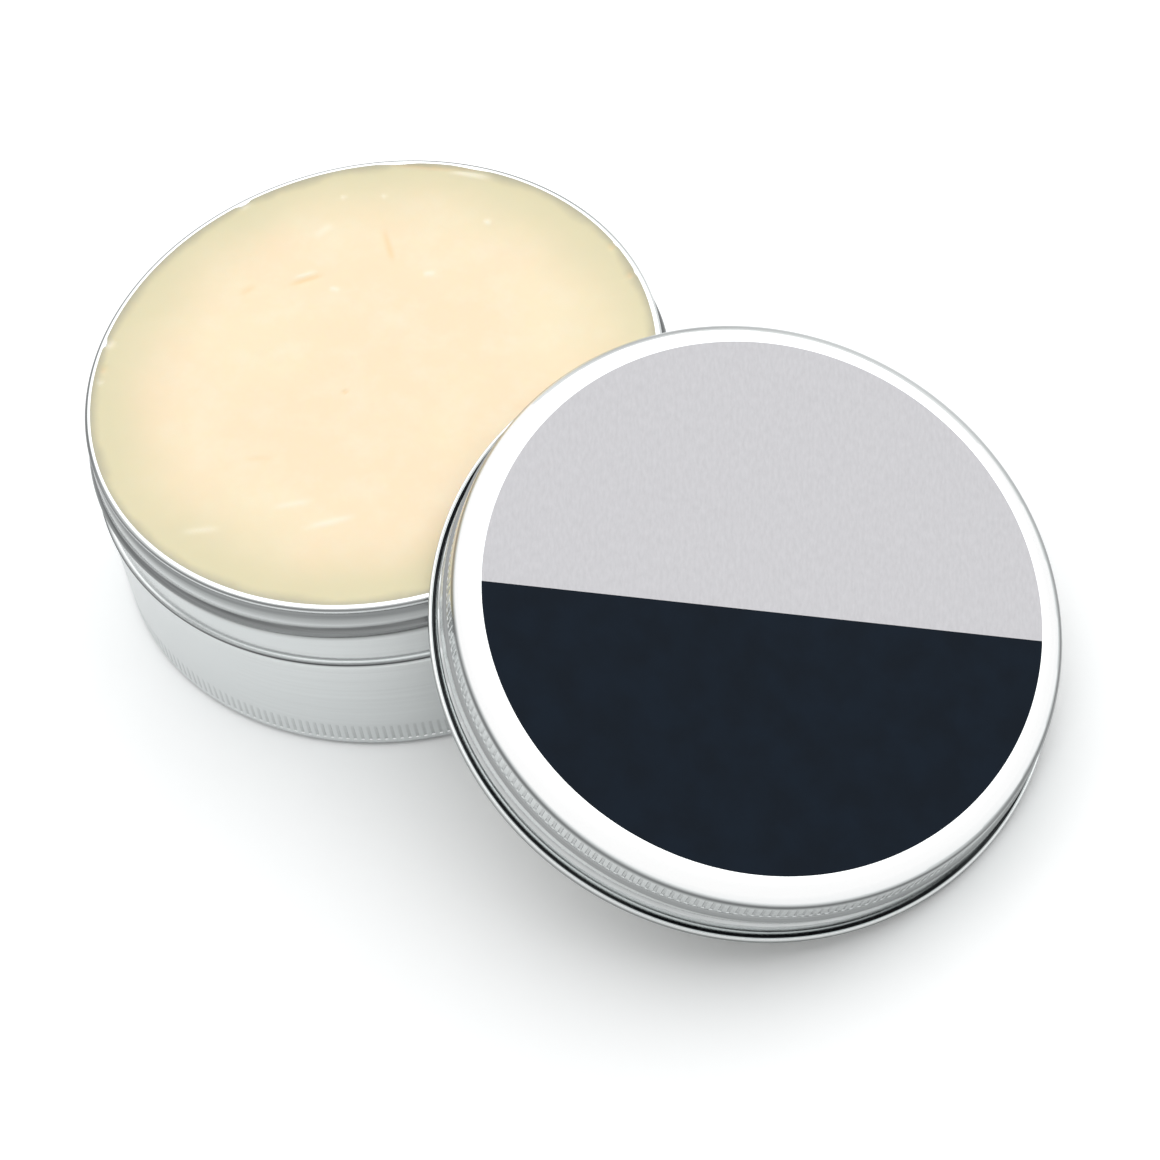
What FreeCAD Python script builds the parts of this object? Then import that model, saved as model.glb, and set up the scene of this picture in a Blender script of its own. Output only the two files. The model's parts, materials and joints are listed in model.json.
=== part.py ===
"""Round screw-top aluminium tin of leather wax, about 100 ml, with its lid off.

The tin stands on the floor, filled to the rim. Its lid leans beside it: the low side of the lid's hem
is on the floor and the hem rests across the tin's rim. Lengths are in millimetres.

Origin: centre of the tin's underside, on the floor. +Z is up, and the lid leans along +X.
The lid, its liner and its label are drawn upright about Z, with the lid's top face at z = 0,
and lid_placement() then tilts them into the lean.
"""
import FreeCAD, Part
import math
import os

# Tin: a drawn cup with a rolled rim
body_diameter = 70.7
tin_height = 26.6
tin_wall = 0.35
base_corner_radius = 1.0
smallest_inner_radius = 0.1  # of the corner inside the cup
foot_ring_width = 0.9
panel_recess = 0.5
panel_slope = 0.6
neck_inset = 0.25            # body to neck, on the radius
rim_bead_diameter = 1.1
rim_inset = 0.1              # neck to the outside of the rolled rim, on the radius
throat_inset = 0.35          # neck to the groove under the rolled rim, on the radius
throat_height = 0.3          # straight part of the groove under the rolled rim
flare_height = 1.4           # from the groove out to the full neck
stop_bead_drop = 9.9         # rim to the middle of the bead that stops the lid
stop_bead_height = 0.28
stop_bead_width = 1.0

# Screw thread, rolled into the sheet of both pieces
thread_lead = 6.0
thread_height = 0.5
thread_rounding = 0.9        # radius of the ridge's section
thread_clearance = 0.2       # tin's ridge to the lid's skirt, on the radius
tin_thread_drop = 2.1        # rim to the upper end of the tin's ridge
tin_thread_turns = 1.0
tin_thread_end = 66.0        # degrees about the tin where the ridge's upper end is

# Wax in the tin
fill_drop = 0.2              # rim to the wax
wax_clearance = 0.05

# Lid: a drawn cap with its edge rolled outwards
lid_wall = 0.35
lid_corner_radius = 3.0
skirt_step = 0.35            # knurled band to the threaded skirt, on the radius
knurl_band_height = 2.2      # below the rounded corner
skirt_step_height = 0.5
hem_gap = 0.53               # open crevice between skirt and rolled edge
hem_lip = 0.4                # straight part of the rolled edge above its turn
hem_clearance = 0.1          # hem to the tin's stop bead with the lid screwed down
lid_thread_depth = 6.4       # lid's top face to the upper end of its ridge
lid_thread_turns = 0.5
lid_thread_end = -19.0       # degrees about the lid where the ridge's upper end is

# Liner and label
liner_thickness = 1.3
liner_clearance = 0.2        # to the inside of the lid
liner_edge_height = 0.05     # upright edge below its rounded one
label_thickness = 0.1
label_margin = 0.15          # to the start of the lid's rounded corner

# The lean
foot_reach = 88.4            # tin's axis to where the lid's hem stands on the floor
lean_clearance = 0.3         # hem to the rolled rim
steepest_lean = 60.0         # degrees, upper end of the search for the lean
lean_precision = 1e-7        # radians
hem_samples = 1800           # points on half the hem that are tried against the rim

# Radii and heights that follow
body_radius = body_diameter / 2
neck_radius = body_radius - neck_inset
rim_bead_radius = rim_bead_diameter / 2
rim_middle = (neck_radius - rim_inset - rim_bead_radius, tin_height - rim_bead_radius)
throat_radius = neck_radius - throat_inset
panel_height = panel_recess + tin_wall
panel_radius = body_radius - base_corner_radius - foot_ring_width - panel_slope
inner_corner_radius = max(base_corner_radius - tin_wall, smallest_inner_radius)
stop_bead_middle = tin_height - stop_bead_drop
stop_bead_bottom = stop_bead_middle - stop_bead_width / 2
stop_bead_top = stop_bead_middle + stop_bead_width / 2

skirt_inside = neck_radius + thread_height + thread_clearance
skirt_outside = skirt_inside + lid_wall
band_outside = skirt_outside - skirt_step
band_inside = band_outside - lid_wall
lid_flat_radius = band_outside - lid_corner_radius
liner_top = lid_wall + liner_clearance
liner_bottom = liner_top + liner_thickness
hem_turn_radius = hem_gap / 2 + lid_wall
lid_depth = stop_bead_drop - stop_bead_width / 2 - hem_clearance + liner_bottom
hem_radius = skirt_outside + hem_gap / 2
hem_depth = lid_depth - hem_turn_radius


def on_circle(middle, radius, degrees):
    """Point (r, z) on a circle in the section plane, from +r towards +z."""
    turn = math.radians(degrees)
    return (middle[0] + radius * math.cos(turn), middle[1] + radius * math.sin(turn))


def below_middle(middle, radius, r):
    """Point (r, z) where the lower half of a circle in the section plane has the given r."""
    return (r, middle[1] - math.sqrt(radius ** 2 - (r - middle[0]) ** 2))


def revolved(start, *steps):
    """Solid turned about Z from a closed section. A step is a point at the end of a line, or a pair
    (point on the way, end point) for an arc."""
    def at(point):
        return FreeCAD.Vector(point[0], 0, point[1])

    edges = []
    here = start
    for step in steps + (start,):
        if isinstance(step[0], tuple):
            edges.append(Part.Arc(at(here), at(step[0]), at(step[1])).toShape())
            here = step[1]
        else:
            edges.append(Part.LineSegment(at(here), at(step)).toShape())
            here = step
    section = Part.Face(Part.Wire(edges))
    return section.revolve(FreeCAD.Vector(0, 0, 0), FreeCAD.Vector(0, 0, 1), 360)


def helical_bead(path_radius, bead_radius, turns, upper_end, end_degrees):
    """Right-handed round bead about Z whose upper end is at the height and angle given."""
    rise = thread_lead * turns
    path = Part.Wire(Part.makeHelix(thread_lead, rise, path_radius).Edges)
    along = FreeCAD.Vector(0, 2 * math.pi * path_radius, thread_lead)
    start = FreeCAD.Vector(path_radius, 0, 0)
    section = Part.Wire(Part.Circle(start, along, bead_radius).toShape())
    bead = path.makePipeShell([section], True, True)
    bead.rotate(FreeCAD.Vector(0, 0, 0), FreeCAD.Vector(0, 0, 1), end_degrees - 360 * turns)
    bead.translate(FreeCAD.Vector(0, 0, upper_end - rise))
    return bead


def tin_cup():
    """Cup with a recessed base panel, a stop bead, a neck and the rolled rim."""
    foot_outer = body_radius - base_corner_radius
    foot_inner = panel_radius + panel_slope
    corner_middle = (foot_outer, base_corner_radius)
    flare_bottom = rim_middle[1] - rim_bead_radius - throat_height - flare_height
    throat_outer = below_middle(rim_middle, rim_bead_radius, throat_radius)
    throat_inner = below_middle(rim_middle, rim_bead_radius, throat_radius - tin_wall)
    throat_bottom = flare_bottom + flare_height
    inner_radius = body_radius - tin_wall
    inner_middle = (inner_radius - inner_corner_radius, tin_wall + inner_corner_radius)
    return revolved(
        (0, panel_recess),
        (panel_radius, panel_recess),
        (foot_inner, 0),
        (foot_outer, 0),
        (on_circle(corner_middle, base_corner_radius, -45), (body_radius, base_corner_radius)),
        (body_radius, stop_bead_bottom),
        ((body_radius + stop_bead_height, stop_bead_middle), (neck_radius, stop_bead_top)),
        (neck_radius, flare_bottom),
        (throat_radius, throat_bottom),
        throat_outer,
        (on_circle(rim_middle, rim_bead_radius, 0), on_circle(rim_middle, rim_bead_radius, 90)),
        (on_circle(rim_middle, rim_bead_radius, 180), throat_inner),
        (throat_radius - tin_wall, throat_bottom),
        (neck_radius - tin_wall, flare_bottom),
        (neck_radius - tin_wall, stop_bead_top),
        (inner_radius, stop_bead_bottom),
        (inner_radius, inner_middle[1]),
        (on_circle(inner_middle, inner_corner_radius, -45), (inner_middle[0], tin_wall)),
        (foot_inner, tin_wall),
        (panel_radius, panel_height),
        (0, panel_height),
    )


def tin_base():
    """The cup with the thread's ridge on its neck."""
    ridge_path = neck_radius + thread_height - thread_rounding
    ridge = helical_bead(ridge_path, thread_rounding, tin_thread_turns,
                         tin_height - tin_thread_drop, tin_thread_end)
    ridge = ridge.cut(Part.makeCylinder(neck_radius - tin_wall / 2, tin_height))
    return tin_cup().fuse(ridge).removeSplitter()


def polish_wax():
    """Wax that fills the cup to just under the top of the rolled rim."""
    lower = body_radius - tin_wall - wax_clearance
    neck = neck_radius - tin_wall - wax_clearance
    throat = rim_middle[0] - rim_bead_radius - wax_clearance
    top = tin_height - fill_drop
    shoulder = rim_middle[1] - rim_bead_radius - throat_height - flare_height - wax_clearance
    bottom = panel_height + wax_clearance
    edge = base_corner_radius
    return revolved(
        (0, bottom),
        (lower - edge, bottom),
        (lower, bottom + edge),
        (lower, stop_bead_bottom - wax_clearance),
        (neck, stop_bead_top - wax_clearance),
        (neck, shoulder),
        (throat, shoulder + flare_height),
        (throat, top),
        (0, top),
    )


def lid_cap():
    """Cap with a rounded corner, a straight band, a wider skirt and its edge rolled outwards."""
    corner_middle = (lid_flat_radius, -lid_corner_radius)
    inner_corner = lid_corner_radius - lid_wall
    band_bottom = -lid_corner_radius - knurl_band_height
    step_bottom = band_bottom - skirt_step_height
    hem_middle = (hem_radius, -hem_depth)
    lip_middle = (skirt_outside + hem_gap + lid_wall / 2, -hem_depth + hem_lip)
    return revolved(
        (0, 0),
        (lid_flat_radius, 0),
        (on_circle(corner_middle, lid_corner_radius, 45), (band_outside, corner_middle[1])),
        (band_outside, band_bottom),
        (skirt_outside, step_bottom),
        (skirt_outside, -hem_depth),
        (on_circle(hem_middle, hem_gap / 2, -90), on_circle(hem_middle, hem_gap / 2, 0)),
        on_circle(lip_middle, lid_wall / 2, 180),
        (on_circle(lip_middle, lid_wall / 2, 90), on_circle(lip_middle, lid_wall / 2, 0)),
        on_circle(hem_middle, hem_turn_radius, 0),
        (on_circle(hem_middle, hem_turn_radius, -90), on_circle(hem_middle, hem_turn_radius, 180)),
        (skirt_inside, step_bottom - lid_wall / 2),
        (band_inside, band_bottom - lid_wall / 2),
        (band_inside, corner_middle[1]),
        (on_circle(corner_middle, inner_corner, 45), (lid_flat_radius, -lid_wall)),
        (0, -lid_wall),
    )


def lid():
    """The cap with its thread pressed in: a ridge inside the skirt and a groove outside it."""
    path = skirt_inside - thread_height + thread_rounding
    ridge = helical_bead(path, thread_rounding, lid_thread_turns, -lid_thread_depth, lid_thread_end)
    skirt_core = Part.makeCylinder(skirt_inside + lid_wall / 2, lid_depth)
    skirt_core.translate(FreeCAD.Vector(0, 0, -lid_depth))
    groove = helical_bead(path, thread_rounding - lid_wall, lid_thread_turns,
                          -lid_thread_depth, lid_thread_end)
    return lid_cap().fuse(ridge.common(skirt_core)).cut(groove).removeSplitter()


def lid_liner():
    """Foam disc pressed up into the lid, its top edge rounded like the lid's corner."""
    middle = (lid_flat_radius, -lid_corner_radius)
    bend = lid_corner_radius - liner_top
    sag = lid_corner_radius - liner_bottom
    edge = math.degrees(math.asin(sag / bend))
    rim = on_circle(middle, bend, edge)
    return revolved(
        (0, -liner_top),
        (lid_flat_radius, -liner_top),
        (on_circle(middle, bend, (90 + edge) / 2), rim),
        (rim[0], -liner_bottom - liner_edge_height),
        (0, -liner_bottom - liner_edge_height),
    )


def lid_label():
    """Round sticker on the lid's flat top."""
    return Part.makeCylinder(lid_flat_radius - label_margin, label_thickness)


def hem_above_rim(lean):
    """Shortest distance from the middle line of the hem's turn to that of the rolled rim, negative
    where the hem passes under the rim."""
    middle_x = foot_reach - hem_radius * math.cos(lean)
    middle_z = hem_turn_radius + hem_radius * math.sin(lean)
    nearest = math.inf
    for step in range(hem_samples):
        turn = math.pi * step / hem_samples
        x = middle_x + hem_radius * math.cos(turn) * math.cos(lean)
        y = hem_radius * math.sin(turn)
        z = middle_z - hem_radius * math.cos(turn) * math.sin(lean)
        above = z - rim_middle[1]
        apart = math.hypot(math.hypot(x, y) - rim_middle[0], above)
        if apart < abs(nearest):
            nearest = math.copysign(apart, above)
    return nearest


def lean_angle():
    """Tilt, in radians, at which the hem stands on the floor and clears the rolled rim as stated."""
    wanted = hem_turn_radius + rim_bead_radius + lean_clearance
    low = 0.0
    high = math.radians(steepest_lean)
    while high - low > lean_precision:
        middle = (low + high) / 2
        if hem_above_rim(middle) < wanted:
            low = middle
        else:
            high = middle
    return high


def lid_placement():
    """Tilts the upright lid about Y and stands its hem on the floor at foot_reach."""
    lean = lean_angle()
    axis = FreeCAD.Vector(math.sin(lean), 0, math.cos(lean))
    hem_middle = FreeCAD.Vector(foot_reach - hem_radius * math.cos(lean), 0,
                                hem_turn_radius + hem_radius * math.sin(lean))
    tilt = FreeCAD.Rotation(FreeCAD.Vector(0, 1, 0), math.degrees(lean))
    return FreeCAD.Placement(hem_middle + axis * hem_depth, tilt)


def main():
    os.makedirs("parts", exist_ok=True)
    leaning = lid_placement().toMatrix()
    shapes = {
        "tin_base": tin_base(),
        "polish_wax": polish_wax(),
        "lid": lid().transformed(leaning),
        "lid_liner": lid_liner().transformed(leaning),
        "lid_label": lid_label().transformed(leaning),
    }
    for name, shape in shapes.items():
        shape.exportStep(f"parts/{name}.step")
        print(name, "valid", shape.isValid(), "solids", len(shape.Solids), "mm3", round(shape.Volume, 1))
    print("lean", math.degrees(lean_angle()), "lid top centre", lid_placement().Base)


main()
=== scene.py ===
"""Looks of a screw-top aluminium tin of leather wax, with its lid leaning against it.

Each piece is drawn upright about Z as a section, spun round, pressed and knurled, and then rides
on its CAD body. The lid's pieces are drawn with the lid's top face at z = 0, and tilted into the
lean last. Lengths are in metres, in the CAD model's frame.
"""

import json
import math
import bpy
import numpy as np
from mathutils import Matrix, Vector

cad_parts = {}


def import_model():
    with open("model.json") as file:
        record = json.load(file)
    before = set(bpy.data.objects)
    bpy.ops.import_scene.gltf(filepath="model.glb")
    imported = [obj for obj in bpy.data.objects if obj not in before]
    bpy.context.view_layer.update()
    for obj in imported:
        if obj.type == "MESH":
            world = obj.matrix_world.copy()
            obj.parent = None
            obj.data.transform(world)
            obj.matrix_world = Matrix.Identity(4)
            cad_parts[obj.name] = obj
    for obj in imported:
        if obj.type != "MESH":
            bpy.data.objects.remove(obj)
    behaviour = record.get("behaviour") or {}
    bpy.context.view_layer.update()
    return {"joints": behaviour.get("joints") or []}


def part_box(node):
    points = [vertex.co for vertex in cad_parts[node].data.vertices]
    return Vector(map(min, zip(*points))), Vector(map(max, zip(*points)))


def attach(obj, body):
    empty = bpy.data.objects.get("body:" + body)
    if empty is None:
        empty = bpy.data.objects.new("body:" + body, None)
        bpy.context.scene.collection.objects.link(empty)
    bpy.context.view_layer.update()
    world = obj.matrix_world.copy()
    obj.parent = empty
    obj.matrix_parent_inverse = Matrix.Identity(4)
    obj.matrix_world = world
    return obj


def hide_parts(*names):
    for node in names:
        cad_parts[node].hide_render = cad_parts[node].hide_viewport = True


bl_info = {
    "name": "Shoe Polish Tin",
    "version": (1, 0, 0),
    "blender": (4, 5, 0),
    "location": "View3D > Sidebar > Polish Tin",
    "description": "Builds a screw-top tin of leather wax with its lid, liner and label",
    "category": "Object",
}

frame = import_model()

mm = 0.001
tin_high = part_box("tin_base")[1]
wax_low, wax_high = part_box("polish_wax")
lid_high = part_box("lid")[1]
label_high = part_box("lid_label")[1]
lid_turn = next(joint for joint in frame["joints"] if joint["name"] == "lid_turn")
lid_axis = Vector(lid_turn["axis"])
lid_centre = Vector(lid_turn["pos_m"])
lid_lean = math.atan2(lid_axis.x, lid_axis.z)

SEGMENTS_PER_KNURL = 2
WEDGES = 10                  # equal parts of a whole turn, which the spun segments divide into
BEND_GUARD = 0.08 * mm       # from a bend to the first ring of the flat beside it
THREAD_ROW = 0.12 * mm       # between rings where the thread is pressed in
WELD = 0.002 * mm            # points closer than this are one
CAP_PART = 0.35              # part of the thread's height that a circle's cap makes
SWELL_REACH = 1.3            # half the width of the swell that makes the rest, in roundings
ABOVE_BEAD = 1.3             # from the stop bead's middle up to the plain neck, in bead radii
RIM_ROLL = (-57, 265)        # degrees round the rolled rim's section
BRIM_RINGS = (0.04, 0.1, 0.18, 0.28, 0.4, 0.55, 0.75, 1.0)    # shares of the wax's climb width
FLOOR_WIDTH = 8.0
FLOOR_FADE = (0.12, 0.4)     # from the origin to where the floor starts and ends its fade to white
SOFTBOX_PLACE = Vector((-0.35, 0.45, 1.3))
SOFTBOX_AIM = Vector((0.04, 0, 0))

# Marks in the wax: middle x and y, turn in degrees, length, width and rise (mm), and tint, which is
# 1 for a scraped orange streak and -1 for a pale one
WAX_MARKS = (
    (-17.0, 7.2, 56, 3.8, 0.7, -0.12, 0.8),
    (-17.6, 7.8, 56, 2.4, 0.6, 0.08, -0.8),
    (-12.0, 17.0, -37, 5.0, 0.8, -0.09, 0.7),
    (-13.0, 8.0, 20, 1.3, 0.8, 0.08, -0.8),
    (-22.0, 20.0, 0, 0.7, 0.7, 0.08, -0.6),
    (-17.8, 22.9, 0, 0.7, 0.6, 0.08, -0.6),
    (-20.5, 14.5, 80, 2.6, 1.2, 0.05, -0.5),
    (-4.7, 16.2, 40, 1.4, 0.8, 0.09, -0.9),
    (-4.1, 26.6, 0, 0.9, 0.8, 0.09, -0.8),
    (-22.0, 2.0, 70, 2.0, 0.9, -0.05, 0.45),
    (10.3, -19.7, 50, 5.5, 0.9, 0.07, -0.7),
    (4.8, -20.1, 45, 4.0, 0.8, 0.06, -0.6),
    (-1.7, -29.0, 40, 4.0, 0.8, 0.06, -0.5),
    (-3.2, -17.1, 35, 3.0, 0.8, -0.06, 0.35),
    (-1.2, -3.6, 0, 0.8, 0.8, -0.10, 0.6),
    (-30.7, -13.8, 66, 1.3, 1.0, -0.20, -0.6),
    (-28.6, -17.2, 60, 1.0, 1.0, -0.22, 0.3),
    (-27.6, -18.9, 56, 0.8, 0.9, -0.15, -0.5),
    (16.2, 29.3, -30, 1.0, 1.0, -0.20, 0.4),
    (11.5, 31.6, -20, 1.0, 0.8, -0.16, 0.4),
    (-31.6, 12.2, 70, 1.5, 0.7, -0.14, -0.4),
    (-15.6, 29.8, 27, 11.0, 0.6, -0.12, 0.4),
    (-11.0, 31.4, 20, 5.0, 0.7, 0.10, -0.7),
)


def length(name, default, description, low=0.0):
    return bpy.props.FloatProperty(name=name, description=description, default=default,
                                   unit="LENGTH", min=low, precision=5)


def angle(name, degrees, description):
    return bpy.props.FloatProperty(name=name, description=description, subtype="ANGLE",
                                   default=math.radians(degrees))


def number(name, default, description, low, high):
    return bpy.props.FloatProperty(name=name, description=description, default=default, min=low,
                                   max=high)


def colour(name, default, description):
    return bpy.props.FloatVectorProperty(name=name, description=description, default=default,
                                         subtype="COLOR", size=3, min=0.0, max=1.0)


class SheetSettings(bpy.types.PropertyGroup):
    """Sheet metal that the tin and the lid share."""
    wall: length("Wall", 0.35 * mm, "Thickness of the aluminium sheet")
    thread_lead: length("Thread lead", 6.0 * mm, "Rise of the thread in one turn")
    thread_height: length("Thread height", 0.5 * mm, "How far the thread stands out of the wall")
    thread_rounding: length("Thread rounding", 0.9 * mm, "Radius of the thread's section")
    thread_fade: angle("Thread fade", 22, "Turn over which each end of the thread fades")
    knurls: bpy.props.IntProperty(name="Knurls", default=235, min=10,
                                  description="Knurl marks round each piece, a multiple of five")
    knurl_depth: length("Knurl depth", 0.07 * mm, "Depth of a knurl mark")
    knurl_slope: length("Knurl slope", 0.11 * mm, "Width of the sloping edge of a knurl mark")
    metal: colour("Metal", (0.79, 0.815, 0.815), "Colour of the aluminium")
    # Painted highlight: the colour that stands in for the bright reflection on the lid's corner
    burnished: colour("Burnished", (1.0, 1.0, 1.0), "Colour where the aluminium is rubbed bright")
    # Painted shade: the colour of the darkest painted shade and dark reflections in the creases
    stain: colour("Stain", (0.012, 0.014, 0.016), "Colour of the darkest creases in the aluminium")
    roughness: number("Roughness", 0.22, "Roughness of the aluminium", 0.0, 1.0)


class TinSettings(bpy.types.PropertyGroup):
    """Cup with a recessed base, a knurled foot, a stop bead, a threaded neck and a rolled rim."""
    base_corner: length("Base corner", 1.0 * mm, "Radius of the corner round the base")
    foot_width: length("Foot width", 0.9 * mm, "Width of the ring that the tin stands on")
    recess: length("Base recess", 0.5 * mm, "Height of the base panel above the floor")
    recess_slope: length("Recess slope", 0.6 * mm, "Width of the slope up to the base panel")
    knurl_start: length("Knurl start", 1.3 * mm, "Floor to the lower end of the knurl marks")
    knurl_end: length("Knurl end", 4.0 * mm, "Floor to the upper end of the knurl marks")
    bead_height: length("Stop bead", 0.28 * mm, "How far the stop bead stands out of the body")
    bead_radius: length("Stop bead radius", 0.20 * mm, "Radius of the stop bead's section")
    bead_drop: length("Stop bead drop", 10.05 * mm, "Rim to the middle of the stop bead")
    waist_depth: length("Waist depth", 0.17 * mm, "How far the body draws in under the stop bead")
    waist_height: length("Waist height", 0.75 * mm, "Height of the drawn-in part of the body")
    neck_inset: length("Neck inset", 0.25 * mm, "Body to neck, on the radius")
    rim_bead: length("Rim bead", 1.1 * mm, "Diameter of the rolled rim")
    # Turns at which the painted shade on the rim's outside is strongest, and on the neck and rim
    # weakest
    rim_dull: angle("Rim dull side", 165, "Turn at which the rim's outside is dullest")
    neck_clean: angle("Neck clean side", 52, "Turn at which the neck and rim are lightest")
    rim_inset: length("Rim inset", 0.1 * mm, "Neck to the outside of the rolled rim, on the radius")
    throat_inset: length("Throat inset", 0.35 * mm, "Neck to the groove under the rolled rim")
    throat_height: length("Throat height", 0.1 * mm, "Height of the groove under the rolled rim")
    flare_height: length("Flare height", 1.9 * mm, "From the groove out to the full neck")
    thread_drop: length("Thread drop", 2.1 * mm, "Rim to the upper end of the thread")
    thread_end: angle("Thread end", 66, "Turn at which the thread's upper end is")
    thread_turns: number("Thread turns", 1.0, "Turns of the thread", 0.1, 1.0)


class WaxSettings(bpy.types.PropertyGroup):
    """Leather wax that was poured in warm and has set."""
    ring_width: length("Ring width", 0.32 * mm, "Distance between the rings of the surface mesh")
    shoulder: length("Shoulder", 0.06 * mm, "Radius of the edge round the surface")
    climb: length("Climb", 0.17 * mm, "How far the wax climbs the rolled rim")
    climb_width: length("Climb width", 2.0 * mm, "Width of the surface that rises to the rim")
    bite: length("Bite", 0.06 * mm, "How far the surface reaches into the rolled rim")
    unevenness: length("Unevenness", 0.22 * mm, "Height of the low swells in the surface")
    swell: length("Swell", 13 * mm, "Width of a swell")
    middle: colour("Middle", (1.0, 0.80, 0.56), "Colour in the middle")
    pale: colour("Pale", (0.98, 0.825, 0.575), "Colour of the paler patches")
    edge: colour("Edge", (0.77, 0.705, 0.465), "Colour beside the rim")
    # Painted shade: the colour of the dark line in the wax where the rim shades it
    shade: colour("Shade", (0.50, 0.465, 0.34), "Colour of the grimy line at the rim")
    scraped: colour("Scraped", (0.95, 0.70, 0.40), "Colour in a scratch")
    raised: colour("Raised", (1.0, 0.93, 0.76), "Colour of a light speck")


class LidSettings(bpy.types.PropertyGroup):
    """Cap with a knurled band, a threaded skirt and its edge rolled outwards."""
    depth: length("Depth", 11.15 * mm, "Top face to the bottom of the rolled edge")
    corner: length("Corner", 3.0 * mm, "Radius of the corner round the top")
    band_height: length("Band height", 2.2 * mm, "Height of the straight band below the corner")
    knurl_start: length("Knurl start", 2.62 * mm, "Top face to the upper end of the knurl marks")
    knurl_end: length("Knurl end", 4.95 * mm, "Top face to the lower end of the knurl marks")
    step: length("Step", 0.35 * mm, "Band to skirt, on the radius")
    step_height: length("Step height", 0.5 * mm, "Height of the step from band to skirt")
    skirt_flare: length("Skirt flare", 0.2 * mm, "How far the skirt opens out above its rolled edge")
    flare_height: length("Flare height", 0.8 * mm, "Height of the part of the skirt that opens out")
    hem_gap: length("Hem gap", 0.23 * mm, "Open crevice between the skirt and the rolled edge")
    hem_thickness: length("Hem thickness", 0.45 * mm, "Thickness of the rolled edge at its lip")
    crevice: length("Crevice", 0.34 * mm, "Depth of the crevice below the rolled edge's lip")
    hem_lip: length("Hem lip", 0.4 * mm, "Straight part of the rolled edge above its turn")
    thread_drop: length("Thread drop", 6.4 * mm, "Top face to the upper end of the thread")
    thread_end: angle("Thread end", -19, "Turn at which the thread's upper end is")
    thread_turns: number("Thread turns", 0.5, "Turns of the thread", 0.1, 1.0)
    # Turns at which the painted dark reflection line on the lid's corner is highest and darkest
    edge_high: angle("Edge line high", 105, "Turn at which the line on the corner is highest")
    edge_dull: angle("Edge line dull", 75, "Turn at which the line on the corner is dullest")


class LinerSettings(bpy.types.PropertyGroup):
    """Foam disc inside the lid."""
    clearance: length("Clearance", 0.2 * mm, "Liner to the inside of the lid")
    thickness: length("Thickness", 1.3 * mm, "Thickness of the foam")
    foam: colour("Foam", (0.86, 0.86, 0.84), "Colour of the foam")


class LabelSettings(bpy.types.PropertyGroup):
    """Round paper sticker in two plain colours."""
    thickness: length("Thickness", 0.1 * mm, "Thickness of the paper")
    edge: length("Edge", 0.03 * mm, "Rounding of the cut edge")
    divide_turn: angle("Divide turn", 37.6, "Turn of the line between the two colours")
    divide_offset: length("Divide offset", -1.1 * mm, "Label's middle to the dividing line", -1.0)
    upper: colour("Upper", (0.690, 0.685, 0.710), "Colour of the pale half")
    lower: colour("Lower", (0.0055, 0.0105, 0.0185), "Colour of the dark half")


class StageSettings(bpy.types.PropertyGroup):
    """Camera, lamps and floor."""
    aim: bpy.props.FloatVectorProperty(name="Aim", size=3, subtype="TRANSLATION", unit="LENGTH",
                                       default=(36.6 * mm, -6.6 * mm, 20.0 * mm),
                                       description="Point that the camera looks at")
    distance: length("Distance", 516.8 * mm, "Camera to the point it looks at")
    azimuth: angle("Azimuth", -41.18, "Camera's direction from the aim, about Z from X")
    elevation: angle("Elevation", 51.76, "Camera's height angle")
    roll: angle("Roll", 12.22, "Clockwise turn of the camera about its view line")
    focal: bpy.props.FloatProperty(name="Focal length", default=138.1, subtype="DISTANCE_CAMERA",
                                   description="Focal length on a sensor 36 mm wide")
    softbox_size: length("Softbox size", 3.0, "Width of the lamp above the tin")
    softbox_power: number("Softbox power", 26.0, "Power of the lamp in watts", 0.0, 1000.0)
    fill: number("Fill", 0.52, "Light from all round", 0.0, 1.0)
    floor: colour("Floor", (0.955, 0.965, 0.967), "Colour of the floor")
    whiter: number("Whiter", 1.2, "How much whiter the camera sees the floor", 1.0, 2.0)


SETTINGS = {
    "tin_sheet": SheetSettings,
    "tin_body": TinSettings,
    "tin_wax": WaxSettings,
    "tin_lid": LidSettings,
    "tin_liner": LinerSettings,
    "tin_label": LabelSettings,
    "tin_stage": StageSettings,
}


# Sections -------------------------------------------------

def bend(middle, radius, first, last, steps):
    """Points (r, z) round part of a circle in the section plane, between two angles in degrees."""
    turns = np.radians(np.linspace(first, last, steps + 1))
    return [(middle[0] + radius * math.cos(t), middle[1] + radius * math.sin(t)) for t in turns]


def run(outline, end, row=None):
    """Points (r, z) of a straight stretch on from an outline's last point: evenly spaced by row, or
    only a guard point beside each end, which keeps the shading of a bend off the flat."""
    a = Vector(outline[-1])
    b = Vector(end)
    reach = (b - a).length
    if row:
        count = max(1, round(reach / row))
        return [tuple(a.lerp(b, (i + 1) / count)) for i in range(count)]
    if reach < 3 * BEND_GUARD:
        return [tuple(b)]
    share = BEND_GUARD / reach
    return [tuple(a.lerp(b, share)), tuple(a.lerp(b, 1 - share)), tuple(b)]


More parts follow.
